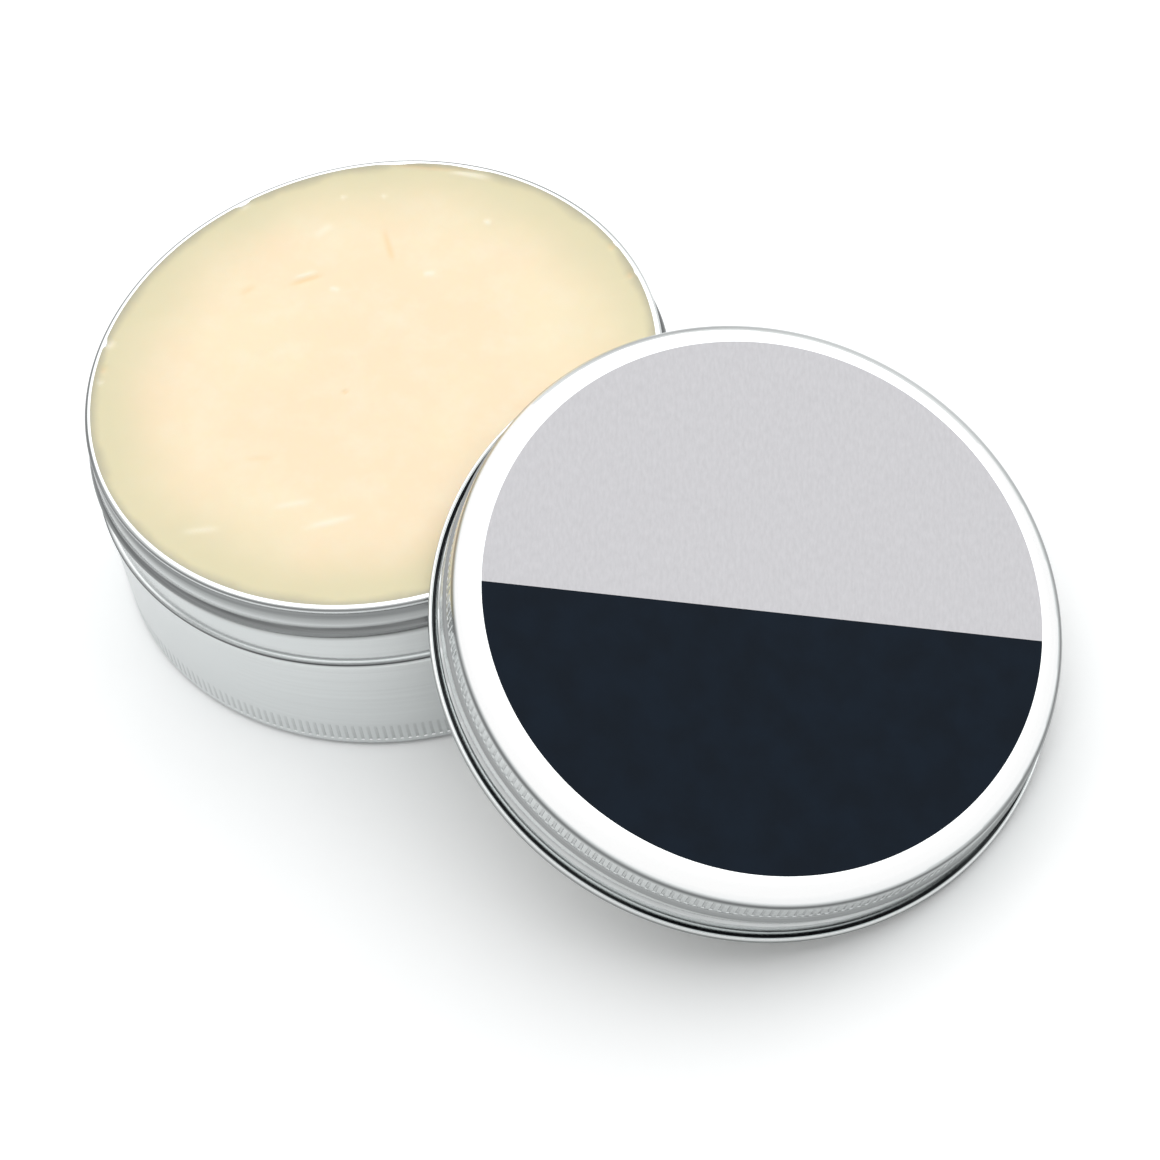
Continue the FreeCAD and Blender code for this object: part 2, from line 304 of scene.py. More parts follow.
def spin_section(name, section, segments):
    """New piece whose section, drawn by extruding one point, is spun into a wedge, and the wedge
    copied round Z."""
    bpy.ops.object.select_all(action="DESELECT")
    start_r, start_z = section[0]
    bpy.ops.mesh.primitive_plane_add(size=mm, location=(start_r, 0, start_z))
    piece = bpy.context.object
    piece.name = name
    piece.data.name = name
    bpy.ops.object.transform_apply(location=True, rotation=True, scale=True)
    bpy.ops.object.mode_set(mode="EDIT")
    bpy.ops.mesh.select_mode(type="VERT")
    bpy.ops.mesh.select_all(action="SELECT")
    bpy.ops.mesh.merge(type="CENTER")
    for here, there in zip(section, section[1:]):
        step = (there[0] - here[0], 0, there[1] - here[1])
        bpy.ops.mesh.extrude_region_move(TRANSFORM_OT_translate={"value": step})
    wedge = math.tau / WEDGES
    bpy.ops.mesh.select_all(action="SELECT")
    bpy.ops.mesh.spin(steps=segments // WEDGES, angle=wedge, center=(0, 0, 0), axis=(0, 0, 1))
    bpy.ops.mesh.select_all(action="SELECT")
    bpy.ops.mesh.spin(steps=WEDGES - 1, dupli=True, angle=math.tau - wedge, center=(0, 0, 0),
                      axis=(0, 0, 1))
    bpy.ops.mesh.select_all(action="SELECT")
    bpy.ops.mesh.remove_doubles(threshold=WELD)
    bpy.ops.mesh.normals_make_consistent(inside=False)
    bpy.ops.object.mode_set(mode="OBJECT")
    return piece


# Pressing and knurling ------------------------------------

def places_of(parts, key="co"):
    """Places of a mesh's vertices, or with the key "center" of its faces, as rows of an array."""
    places = np.empty(len(parts) * 3)
    parts.foreach_get(key, places)
    return places.reshape(-1, 3)


def around(parts, key="co"):
    """Radius, turn about Z and height of each of a mesh's vertices or faces."""
    x, y, height = places_of(parts, key).T
    return np.hypot(x, y), np.arctan2(y, x), height


def select_only(piece):
    bpy.ops.object.select_all(action="DESELECT")
    piece.select_set(True)
    bpy.context.view_layer.objects.active = piece


def push(piece, weights, height, direction="NORMAL", texture=None, texture_middle=0.5):
    """Moves vertices by height times their weight, and by the texture's brightness if it has one."""
    group = piece.vertex_groups.new(name="push")
    for index in np.flatnonzero(weights > 0):
        group.add([int(index)], float(weights[index]), "REPLACE")
    modifier = piece.modifiers.new("push", "DISPLACE")
    modifier.vertex_group = group.name
    modifier.strength = height
    modifier.direction = direction
    modifier.mid_level = 0.0
    if texture:
        modifier.texture = texture
        modifier.texture_coords = "LOCAL"
        modifier.mid_level = texture_middle
    select_only(piece)
    bpy.ops.object.modifier_apply(modifier=modifier.name)
    piece.vertex_groups.clear()


def clouds(name, size, depth):
    texture = bpy.data.textures.new(name, "CLOUDS")
    texture.noise_scale = size
    texture.noise_depth = depth
    return texture


def thread_share(turn, height, sheet, course, upper_end, rounding):
    """How far a right-handed thread is pressed out at each place, as a share of its full height.
    Its section is part a circle's cap, whose middle is sunk below the wall, and part a wider swell.
    The course is the tin's or the lid's settings."""
    down = np.mod(course.thread_end - turn, math.tau)
    across = height - (upper_end - sheet.thread_lead * down / math.tau)
    sunk = rounding - sheet.thread_height
    cap = np.sqrt(np.clip(rounding ** 2 - across ** 2, 0, None)) - sunk
    cap = np.clip(cap / sheet.thread_height, 0, 1)
    swell = np.cos(np.clip(across / (SWELL_REACH * rounding), -1, 1) * math.pi / 2) ** 2
    to_end = np.minimum(down, course.thread_turns * math.tau - down)
    along = np.clip(to_end / sheet.thread_fade, 0, 1)
    return (CAP_PART * cap + (1 - CAP_PART) * swell) * along * along * (3 - 2 * along)


def knurl(piece, sheet, low, high, radius_above):
    """Presses a mark into every second column of faces between two heights."""
    radius, turn, height = around(piece.data.polygons, "center")
    column = np.floor(np.mod(turn, math.tau) / math.tau * sheet.knurls * SEGMENTS_PER_KNURL)
    chosen = (height > low) & (height < high) & (radius > radius_above)
    chosen &= np.mod(column, SEGMENTS_PER_KNURL) == 0
    select_only(piece)
    bpy.ops.object.mode_set(mode="EDIT")
    bpy.ops.mesh.select_mode(type="FACE")
    bpy.ops.mesh.select_all(action="DESELECT")
    bpy.ops.object.mode_set(mode="OBJECT")
    piece.data.polygons.foreach_set("select", chosen)
    bpy.ops.object.mode_set(mode="EDIT")
    bpy.ops.mesh.inset(thickness=sheet.knurl_slope, depth=-sheet.knurl_depth)
    bpy.ops.object.mode_set(mode="OBJECT")


def band(value, low, high, soft):
    """1 between low and high, falling to 0 over soft on both sides."""
    return np.clip((value - low) / soft + 1, 0, 1) * np.clip((high - value) / soft + 1, 0, 1)


def record(piece, attribute, amounts):
    """Keeps an amount from -1 to 1 at each vertex for the material to read: "stain" on metal
    is 1 where the painted shade is darkest and -1 where a highlight is painted, and "mark" on wax is a
    mark's tint."""
    layer = piece.data.attributes.new(attribute, "FLOAT", "POINT")
    layer.data.foreach_set("value", np.clip(amounts, -1, 1))


def lean(piece):
    """Tilts an upright lid piece about Y and puts its top face where the lid's is."""
    select_only(piece)
    piece.location = lid_centre
    piece.rotation_euler = (0, lid_lean, 0)
    bpy.ops.object.transform_apply(location=True, rotation=True, scale=True)


def hand_over(piece, body, node, material, crease=30):
    """Shades the piece, gives it its material and ties it to the CAD model."""
    select_only(piece)
    bpy.ops.object.shade_smooth_by_angle(angle=math.radians(crease))
    piece.data.materials.clear()
    piece.data.materials.append(material)
    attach(piece, body)
    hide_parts(node)


# Materials ------------------------------------------------

class Nodes:
    """A new material's node tree, with short calls to add and link nodes."""

    def __init__(self, name):
        self.material = bpy.data.materials.new(name)
        self.material.use_nodes = True
        self.tree = self.material.node_tree
        self.shader = self.tree.nodes["Principled BSDF"]
        self.output = self.tree.nodes["Material Output"]

    def add(self, kind, values=(), **inputs):
        node = self.tree.nodes.new(kind)
        for key, value in dict(values).items():
            setattr(node, key, value)
        for key, value in inputs.items():
            self.put(node, key.replace("_", " "), value)
        return node

    def put(self, node, socket, value):
        """Sets a socket by name or number, or links it where the value is another node's socket."""
        target = node.inputs[int(socket) if socket.isdigit() else socket]
        if isinstance(value, bpy.types.NodeSocket):
            self.tree.links.new(value, target)
        else:
            target.default_value = value

    def shade(self, **inputs):
        for key, value in inputs.items():
            self.put(self.shader, key.replace("_", " "), value)

    def place(self, leaning, turn=0.0):
        """Object coordinates, or on a leaning piece those of the upright lid, turned about Z."""
        source = self.add("ShaderNodeTexCoord").outputs["Object"]
        if not leaning:
            return source
        upright = Matrix.Rotation(lid_lean, 4, "Y") @ Matrix.Rotation(turn, 4, "Z")
        mapping = self.add("ShaderNodeMapping", {"vector_type": "TEXTURE"}, Vector=source,
                           Location=lid_centre, Rotation=upright.to_euler())
        return mapping.outputs["Vector"]

    def scaled(self, vector, scale):
        return self.add("ShaderNodeMapping", Vector=vector, Scale=scale).outputs["Vector"]

    def noise(self, vector, scale, detail=3.0, roughness=0.5):
        return self.add("ShaderNodeTexNoise", Vector=vector, Scale=scale, Detail=detail,
                        Roughness=roughness).outputs["Fac"]

    def range(self, value, low, high, to_low=0.0, to_high=1.0, smooth=False):
        node = self.add("ShaderNodeMapRange",
                        {"interpolation_type": "SMOOTHSTEP" if smooth else "LINEAR"})
        for socket, number in zip(("Value", "From Min", "From Max", "To Min", "To Max"),
                                  (value, low, high, to_low, to_high)):
            self.put(node, socket, number)
        return node.outputs["Result"]

    def mix(self, share, first, second, blend="MIX"):
        node = self.add("ShaderNodeMix", {"data_type": "RGBA", "blend_type": blend})
        for number, value in ((0, share), (6, first), (7, second)):
            self.put(node, str(number), value)
        return node.outputs[2]

    def maths(self, operation, first, second=0.0):
        node = self.add("ShaderNodeMath", {"operation": operation})
        self.put(node, "0", first)
        self.put(node, "1", second)
        return node.outputs[0]

    def radius(self, vector):
        """Distance from the Z axis."""
        flat = self.add("ShaderNodeVectorMath", {"operation": "MULTIPLY"})
        self.put(flat, "0", vector)
        self.put(flat, "1", (1, 1, 0))
        far = self.add("ShaderNodeVectorMath", {"operation": "LENGTH"})
        self.put(far, "0", flat.outputs[0])
        return far.outputs["Value"]

    def bump(self, height, distance, strength=1.0, below=None):
        node = self.add("ShaderNodeBump", Height=height, Distance=distance, Strength=strength)
        if below:
            self.put(node, "Normal", below)
        return node.outputs["Normal"]


def full(rgb, share=1.0):
    return tuple(channel * share for channel in rgb) + (1.0,)


def aluminium(name, sheet, leaning=False):
    """Drawn aluminium sheet: satin, with faint streaks round the wall, slow shifts in its sheen, and
    painted shade and highlights.
    """
    nodes = Nodes(name)
    place = nodes.place(leaning)
    streaks = nodes.noise(nodes.scaled(place, (30, 30, 2600)), 1.0, detail=4)
    patches = nodes.noise(place, 90, detail=3)
    grain = nodes.noise(place, 5200, detail=2)
    shade = nodes.range(streaks, 0.3, 0.7)
    unshaded = nodes.mix(shade, full(sheet.metal, 0.97), full(sheet.metal, 1.03))
    # Painted shade and painted highlight, in amounts that the pieces keep at each vertex
    painted_shading_share = nodes.add("ShaderNodeAttribute", {"attribute_name": "stain"}).outputs["Fac"]
    bright = nodes.mix(nodes.range(painted_shading_share, 0.0, -1.0), unshaded, full(sheet.burnished))
    shaded = nodes.maths("MULTIPLY", painted_shading_share, nodes.range(streaks, 0.3, 0.7, 1.06, 0.92))
    nodes.shade(
        Base_Color=nodes.mix(nodes.range(shaded, 0.0, 1.0), bright, full(sheet.stain)),
        Metallic=1.0,
        Roughness=nodes.range(patches, 0.3, 0.7, sheet.roughness - 0.04, sheet.roughness + 0.05),
        Normal=nodes.bump(grain, 0.002 * mm, 0.5, nodes.bump(streaks, 0.002 * mm, 0.4)),
    )
    return nodes.material


def wax_material(wax, edge_radius):
    """Set wax: peach in the middle, paler in patches, duller and greener beside the rim, with a line
    of painted shade at the rim.
    """
    nodes = Nodes("set_wax")
    place = nodes.place(False)
    patches = nodes.noise(place, 55, detail=3, roughness=0.45)
    fine = nodes.noise(place, 420, detail=4)
    near_edge = nodes.maths("ADD", nodes.radius(place),
                            nodes.range(nodes.noise(place, 70), 0.0, 1.0, -3.5 * mm, 3.5 * mm))
    pale = nodes.range(patches, 0.38, 0.62, smooth=True)
    body = nodes.mix(pale, full(wax.middle), full(wax.pale))
    beside_rim = nodes.range(near_edge, edge_radius - 13 * mm, edge_radius, smooth=True)
    blotches = nodes.noise(place, 190, detail=4, roughness=0.6)
    body = nodes.mix(nodes.range(blotches, 0.45, 0.75, 0.0, 0.3), body, full(wax.raised))
    body = nodes.mix(beside_rim, body, full(wax.edge))
    # Painted shade: a dark line in the wax right at the rim
    shade_start = nodes.range(nodes.noise(place, 180, detail=3), 0.3, 0.7, edge_radius - 1.9 * mm,
                              edge_radius - 0.9 * mm)
    rim_shade = nodes.range(nodes.radius(place), shade_start, edge_radius + 0.4 * mm, smooth=True)
    body = nodes.mix(rim_shade, body, full(wax.shade))
    mark = nodes.add("ShaderNodeAttribute", {"attribute_name": "mark"}).outputs["Fac"]
    body = nodes.mix(nodes.range(mark, 0.0, 1.0), body, full(wax.scraped))
    body = nodes.mix(nodes.range(mark, 0.0, -1.0), body, full(wax.raised))
    nodes.shade(
        Base_Color=body,
        Roughness=nodes.range(fine, 0.3, 0.7, 0.40, 0.52),
        Subsurface_Weight=0.25,
        Subsurface_Radius=(1.0, 0.7, 0.4),
        Subsurface_Scale=1.2 * mm,
        Specular_IOR_Level=0.35,
        Normal=nodes.bump(fine, 0.03 * mm, 0.5),
    )
    return nodes.material


def foam_material(liner):
    """White closed-cell foam."""
    nodes = Nodes("white_foam")
    place = nodes.place(True)
    cells = nodes.add("ShaderNodeTexVoronoi", Vector=place, Scale=2600.0).outputs["Distance"]
    shade = nodes.range(cells, 0.1, 0.7)
    nodes.shade(
        Base_Color=nodes.mix(shade, full(liner.foam), full(liner.foam, 0.9)),
        Roughness=0.8,
        Normal=nodes.bump(cells, 0.08 * mm, 0.6),
    )
    return nodes.material


def label_material(label):
    """Printed paper: a pale mottled half and a dark half with a straight line between them."""
    nodes = Nodes("printed_paper")
    place = nodes.place(True, label.divide_turn)
    fibres = nodes.noise(nodes.scaled(place, (2600, 900, 900)), 1.0, detail=4, roughness=0.6)
    mottle = nodes.noise(place, 210, detail=3)
    pale = nodes.mix(nodes.range(fibres, 0.3, 0.7), full(label.upper, 0.95),
                     full(label.upper, 1.05))
    dark = nodes.mix(nodes.range(mottle, 0.35, 0.65), full(label.lower, 0.88),
                     full(label.lower, 1.2))
    across = nodes.add("ShaderNodeSeparateXYZ", Vector=place).outputs["Y"]
    upper_half = nodes.maths("GREATER_THAN", across, label.divide_offset)
    nodes.shade(
        Base_Color=nodes.mix(upper_half, dark, pale),
        Roughness=nodes.range(mottle, 0.3, 0.7, 0.44, 0.52),
        Specular_IOR_Level=0.07,
        Normal=nodes.bump(fibres, 0.01 * mm, 0.5),
    )
    return nodes.material


def floor_material(stage):
    """White floor that keeps the tin's shadow and fades into the white background far off."""
    nodes = Nodes("white_floor")
    place = nodes.place(False)
    path = nodes.add("ShaderNodeLightPath")
    tone = nodes.mix(path.outputs["Is Camera Ray"], full(stage.floor),
                     full(stage.floor, stage.whiter))
    surface = nodes.add("ShaderNodeBsdfDiffuse", Color=tone)
    white = nodes.add("ShaderNodeEmission", Color=(1.0, 1.0, 1.0, 1.0), Strength=1.0)
    seen = nodes.maths("MAXIMUM", path.outputs["Is Camera Ray"], path.outputs["Is Glossy Ray"])
    far = nodes.range(nodes.radius(place), *FLOOR_FADE, smooth=True)
    blend = nodes.add("ShaderNodeMixShader")
    nodes.put(blend, "0", nodes.maths("MULTIPLY", seen, far))
    nodes.put(blend, "1", surface.outputs[0])
    nodes.put(blend, "2", white.outputs[0])
    nodes.put(nodes.output, "Surface", blend.outputs[0])
    return nodes.material


# Pieces ---------------------------------------------------

def tin_section(sheet, tin):
    """Outline of the tin's wall: from the middle of the base out, up, over the rim and back inside."""
    height = tin_high.z
    body = tin_high.x - tin.bead_height
    neck = body - tin.neck_inset
    throat = neck - tin.throat_inset
    rim_radius = tin.rim_bead / 2
    rim_middle = (neck - tin.rim_inset - rim_radius, height - rim_radius)
    flare_top = rim_middle[1] - rim_radius - tin.throat_height
    flare_bottom = flare_top - tin.flare_height
    bead_middle = (tin_high.x - tin.bead_radius, height - tin.bead_drop)
    waist_top = bead_middle[1] - tin.bead_radius
    foot_outer = body - tin.base_corner
    foot_inner = foot_outer - tin.foot_width
    panel = foot_inner - tin.recess_slope

    outline = [(0, tin.recess)]
    outline += run(outline, (panel, tin.recess))
    outline += run(outline, (foot_inner, 0))
    outline += run(outline, (foot_outer, 0))
    outline += bend((foot_outer, tin.base_corner), tin.base_corner, -80, 0, 8)
    outline += [(body, tin.knurl_start), (body, tin.knurl_end)]
    outline += run(outline, (body, waist_top - tin.waist_height))
    outline += run(outline, (body - tin.waist_depth, waist_top - BEND_GUARD))
    outline += bend(bead_middle, tin.bead_radius, -90, 100, 14)
    outline += run(outline, (neck, bead_middle[1] + ABOVE_BEAD * tin.bead_radius))
    outline += run(outline, (neck, flare_bottom), THREAD_ROW)
    flare_radius = (tin.flare_height ** 2 + tin.throat_inset ** 2) / (2 * tin.throat_inset)
    flare_end = math.degrees(math.asin(tin.flare_height / flare_radius))
    rows = round(tin.flare_height / THREAD_ROW)
    outline += bend((neck - flare_radius, flare_bottom), flare_radius, 0, flare_end, rows)[1:]
    outline += run(outline, (throat, flare_top + tin.throat_height))
    outline += bend(rim_middle, rim_radius, *RIM_ROLL, 30)
    outline += [(throat - sheet.wall, flare_top), (neck - sheet.wall, flare_bottom)]
    outline += [(neck - sheet.wall, bead_middle[1] + tin.bead_radius)]
    outline += [(body - sheet.wall, waist_top), (body - sheet.wall, tin.base_corner)]
    inner_corner = tin.base_corner - sheet.wall
    outline += bend((foot_outer, tin.base_corner), inner_corner, -10, -90, 4)
    outline += [(foot_inner, sheet.wall), (panel, tin.recess + sheet.wall)]
    outline += [(0, tin.recess + sheet.wall)]
    return outline


def build_tin(sheet, tin):
    piece = spin_section("tin", tin_section(sheet, tin), sheet.knurls * SEGMENTS_PER_KNURL)
    body = tin_high.x - tin.bead_height
    throat = body - tin.neck_inset - tin.throat_inset
    radius, turn, height = around(piece.data.vertices)
    on_neck = radius > throat - sheet.wall / 2
    on_neck &= height > tin_high.z - tin.bead_drop + ABOVE_BEAD * tin.bead_radius
    on_neck &= height < tin_high.z - tin.rim_bead - tin.throat_height
    share = thread_share(turn, height, sheet, tin, tin_high.z - tin.thread_drop,
                         sheet.thread_rounding)
    push(piece, share * on_neck, sheet.thread_height)
    knurl(piece, sheet, tin.knurl_start, tin.knurl_end, body - sheet.wall / 2)
    stain_tin(piece, sheet, tin)
    return piece


def stain_tin(piece, sheet, tin):
    """Paints shade and dark reflections into the tin's creases, least on one side, and onto its rim's
    shoulder on the shaded side.
    """
    body = tin_high.x - tin.bead_height
    neck = body - tin.neck_inset
    rim_radius = tin.rim_bead / 2
    radius, turn, height = around(piece.data.vertices)
    drop = tin_high.z - height
    throat = tin.rim_bead + tin.throat_height
    shading_top = tin_high.z - tin.thread_drop - 0.1 * mm
    shading_rounding = 1.6 * sheet.thread_rounding
    thread = 2.2 * thread_share(turn, height, sheet, tin, shading_top, shading_rounding)
    bead_side = np.clip((radius - neck) / (tin_high.x - neck), 0, 1)
    bead_top = tin.bead_drop - 0.27 * mm
    rim_side = (radius - neck + tin.rim_inset + rim_radius) / rim_radius
    # 0 to 1 round the rim, and 0.15 on the side with the least painted shade to 1 on the other
    shaded = np.clip(0.6 + 1.2 * np.cos(turn - tin.rim_dull), 0, 1)
    shadowed = 1 - 0.85 * np.clip(np.cos(turn - tin.neck_clean), 0, 1) ** 2
    pressed = radius < body - sheet.knurl_depth / 2
    creases = [
        # Painted shade: a line round the outside of the rim, and the rim's shoulder
        0.75 * band(drop, 0.24 * mm, 0.36 * mm, 0.08 * mm) * shadowed,
        0.70 * band(drop, 0.16 * mm, 0.24 * mm, 0.05 * mm) * shadowed,
        0.75 * band(rim_side, 0.25, 0.9, 0.15) * (drop < rim_radius) * shaded,
        # Painted shade in the groove and flare under the rim, and on the thread, whose crest is
        # lighter
        0.68 * band(drop, throat - 0.4 * mm, throat + 0.5 * mm, 1.6 * mm) * (drop > 0.8 * mm) * shadowed,
        0.84 * np.clip(thread, 0, 1) - 0.12 * np.clip(thread - 1, 0, 1),
        # Painted shade on the stop bead above its middle, darker further out, and below it
        (0.20 + 0.72 * bead_side) * band(drop, bead_top, tin.bead_drop, 0.02 * mm) * shadowed,
        0.92 * band(drop, tin.bead_drop, tin.bead_drop + 0.30 * mm, 0.35 * mm)
        * (drop > tin.bead_drop) * shadowed,
        # Painted shade at the foot, and on the knurl marks with their lower ends
        0.40 * band(height, 0.0, 0.3 * mm, 0.3 * mm),
        0.12 * band(height, tin.knurl_start, tin.knurl_end, WELD) * pressed,
        0.26 * band(height, tin.knurl_start, tin.knurl_start + 0.2 * mm, WELD) * pressed,
    ]
    outside = radius > neck - tin.rim_inset - 0.6 * tin.rim_bead
    record(piece, "stain", np.maximum.reduce(creases) * outside)


def wax_reach(tin, wax):
    """Radius at which the wax's surface meets the rolled rim."""
    rim_radius = tin.rim_bead / 2
    rim_middle = tin_high.x - tin.bead_height - tin.neck_inset - tin.rim_inset - rim_radius
    above_middle = wax_high.z + wax.climb - (tin_high.z - rim_radius)
    return rim_middle - math.sqrt(rim_radius ** 2 - above_middle ** 2)


def wax_section(tin, wax):
    """Outline of the wax: from the middle of its base out, up inside the tin's wall, neck and rim,
    round the brim and back over the surface."""
    bottom = wax_low.z
    top = wax_high.z
    brim = top + wax.climb
    in_body = wax_high.x
    in_neck = in_body - 0.3 * mm
    surface = wax_reach(tin, wax) + wax.bite
    body_end = top - 10.4 * mm
    neck_start = top - 9.3 * mm
    neck_end = top - 3 * mm
    throat = top - 1.4 * mm
    outline = [(0, bottom)]
    outline += run(outline, (in_body - mm, bottom))
    outline += [(in_body, bottom + mm)]
    outline += run(outline, (in_body, body_end))
    outline += [(in_neck, neck_start), (in_neck, neck_end), (surface, throat)]
    outline += run(outline, (surface, brim - wax.shoulder), 0.25 * mm)
    outline += bend((surface - wax.shoulder, brim - wax.shoulder), wax.shoulder, 15, 90, 5)
    brim_edge = outline[-1][0]
    for share in BRIM_RINGS:
        outline += [(brim_edge - share * wax.climb_width, top + wax.climb * (1 - share) ** 2)]
    outline += run(outline, (0, top), wax.ring_width)
    return outline


def build_wax(sheet, tin, wax):
    piece = spin_section("wax", wax_section(tin, wax), sheet.knurls * SEGMENTS_PER_KNURL)
    top = wax_high.z
    edge = wax_reach(tin, wax) + wax.bite
    edge_fade = 4 * mm
    radius, _, height = around(piece.data.vertices)
    flat = (height > top - wax.shoulder) * np.clip((edge - radius) / edge_fade, 0, 1)
    push(piece, flat, wax.unevenness, "Z", clouds("wax_swells", wax.swell, 1), 0.55)
    push(piece, flat, 0.05 * mm, "Z", clouds("wax_ripples", 1.6 * mm, 2), 0.5)

    places = places_of(piece.data.vertices)
    on_top = places[:, 2] > top - 1.0 * mm
    tint = np.zeros(len(places))
    for x, y, turn, reach, width, rise, mark_tint in WAX_MARKS:
        share = scratch(places, x * mm, y * mm, math.radians(turn), reach * mm, width * mm) * on_top
        push(piece, share, rise * mm, "Z")
        tint += share * mark_tint
    record(piece, "mark", tint)
    return piece


def scratch(places, x, y, turn, reach, width):
    """How much of a mark's height is at each place: a soft streak about one middle."""
    from_x = places[:, 0] - x
    from_y = places[:, 1] - y
    along = from_x * math.cos(turn) + from_y * math.sin(turn)
    across = from_y * math.cos(turn) - from_x * math.sin(turn)
    share = np.exp(-(2 * along / reach) ** 4 - (2 * across / width) ** 2)
    return share * (share > 0.02)


def skirt_radius(lid):
    """Radius of the lid's skirt above the part that opens out."""
    return lid_high.y - lid.hem_thickness - lid.hem_gap - lid.skirt_flare


def hem_radius(sheet, lid):
    """Radius of the turn at the bottom of the lid's rolled edge."""
    return (lid_high.y - skirt_radius(lid) + sheet.wall) / 2


def lid_section(sheet, lid):
    """Outline of the lid's wall: from the middle of the top out, down, round the rolled edge and
    back up inside."""
    hem_outer = lid_high.y
    skirt = skirt_radius(lid)
    band_radius = skirt - lid.step
    flat = band_radius - lid.corner
    band_bottom = -lid.corner - lid.band_height
    step_bottom = band_bottom - lid.step_height
    turn_radius = hem_radius(sheet, lid)
    hem_middle = (hem_outer - turn_radius, turn_radius - lid.depth)
    lip_middle = (hem_outer - lid.hem_thickness / 2, hem_middle[1] + lid.hem_lip)
    crevice_middle = (skirt + lid.skirt_flare + lid.hem_gap / 2,
                      lip_middle[1] + lid.hem_thickness / 2 - lid.crevice + lid.hem_gap / 2)
    corner_middle = (flat, -lid.corner)

    outline = [(0, 0)]
    outline += run(outline, (flat, 0))
    outline += bend(corner_middle, lid.corner, 86, 0, 22)
    outline += run(outline, (band_radius, -lid.knurl_end))
    outline += run(outline, (band_radius, band_bottom))
    outline += run(outline, (skirt, step_bottom))
    outline += run(outline, (skirt, crevice_middle[1] + lid.flare_height), THREAD_ROW)
    outline += run(outline, (skirt + lid.skirt_flare, crevice_middle[1]), THREAD_ROW)
    outline += bend(crevice_middle, lid.hem_gap / 2, 190, 360, 10)
    outline += bend(lip_middle, lid.hem_thickness / 2, 170, 0, 10)
    outline += [(hem_outer, lip_middle[1] - BEND_GUARD)]
    outline += bend(hem_middle, turn_radius, 0, -180, 20)
    outline += run(outline, (skirt - sheet.wall, step_bottom - sheet.wall / 2), THREAD_ROW)
    outline += [(band_radius - sheet.wall, band_bottom - sheet.wall / 2)]
    outline += bend(corner_middle, lid.corner - sheet.wall, 0, 90, 12)
    outline += run(outline, (0, -sheet.wall))
    return outline


def build_lid(sheet, lid):
    piece = spin_section("lid_cap", lid_section(sheet, lid), sheet.knurls * SEGMENTS_PER_KNURL)
    skirt = skirt_radius(lid)
    radius, turn, height = around(piece.data.vertices)
    on_skirt = height < -lid.corner - lid.band_height - lid.step_height
    on_skirt &= height > -lid.depth + sheet.wall + lid.hem_gap
    outside = on_skirt & (abs(radius - skirt) < sheet.wall / 4)
    inside = on_skirt & (abs(radius - skirt + sheet.wall) < sheet.wall / 4)
    groove = thread_share(turn, height, sheet, lid, -lid.thread_drop,
                          sheet.thread_rounding - sheet.wall)
    ridge = thread_share(turn, height, sheet, lid, -lid.thread_drop, sheet.thread_rounding)
    push(piece, groove * outside, -sheet.thread_height)
    push(piece, ridge * inside, sheet.thread_height)
    knurl(piece, sheet, -lid.knurl_end, -lid.knurl_start, skirt - lid.step - sheet.wall / 2)
    stain_lid(piece, sheet, lid)
    lean(piece)
    return piece


def stain_lid(piece, sheet, lid):
    """Paints shade into the lid's creases and a painted dark reflection line on its corner, and a
    painted highlight on the corner above.
    """
    skirt = skirt_radius(lid)
    band_radius = skirt - lid.step
    radius, turn, height = around(piece.data.vertices)
    depth = -height
    step_start = lid.corner + lid.band_height
    lip_top = lid.depth - hem_radius(sheet, lid) - lid.hem_lip - lid.hem_thickness / 2
    lip_inside = lid_high.y - lid.hem_thickness
    crevice_bottom = lip_top + lid.crevice
    on_lip = radius > lip_inside
    in_crevice = abs(radius - lip_inside + lid.hem_gap / 2) < lid.hem_gap / 2 + 0.02 * mm
    pressed = radius < band_radius - sheet.knurl_depth / 2
    # The painted dark reflection line on the corner runs between 0.27 and 0.77 of the corner's depth
    high = np.cos(turn - lid.edge_high)
    edge = lid.corner * (0.52 - 0.25 * high)
    shaded = np.clip(0.4 + 1.6 * np.cos(turn - lid.edge_dull), 0, 1)
    shaded *= 0.8 - 0.5 * np.clip(high, 0, 1) ** 3
    creases = [
        # Painted shade: the line on the corner, which rises on one side, and the corner's lower edge
        shaded * band(depth, edge - 0.15 * mm, edge + 0.15 * mm, 0.4 * mm),
        0.80 * band(depth, 2.05 * mm, 2.25 * mm, 0.45 * mm),
        # Painted shade on the knurl marks, the step and the thread
        0.15 * band(depth, lid.knurl_start, lid.knurl_end, WELD) * pressed,
        0.62 * band(depth, step_start + 0.1 * mm, step_start + lid.step_height, 0.3 * mm),
        0.50 * thread_share(turn, height, sheet, lid, -lid.thread_drop, sheet.thread_rounding),
        # Painted shade in the crevice, and on the rolled edge's lip and side
        1.00 * band(depth, crevice_bottom - 0.1 * mm, lid.depth, 0.1 * mm) * in_crevice,
        0.20 * band(depth, lip_top, lid.depth, 0.1 * mm) * on_lip,
        0.60 * band(depth, lip_top + 0.22 * mm, lid.depth, 0.1 * mm) * on_lip,
    ]
    worst = np.maximum.reduce(creases)
    # Painted highlight on the corner above the line, where no shade is painted
    lit = 0.9 * band(depth, 0.05 * mm, 1.5 * mm, 0.1 * mm) * (radius > band_radius - lid.corner)
    outside = radius > band_radius - sheet.wall / 2 - np.clip(lid.corner - depth, 0, 1)
    record(piece, "stain", np.where(worst > 0.01, worst, -lit) * (outside | in_crevice))


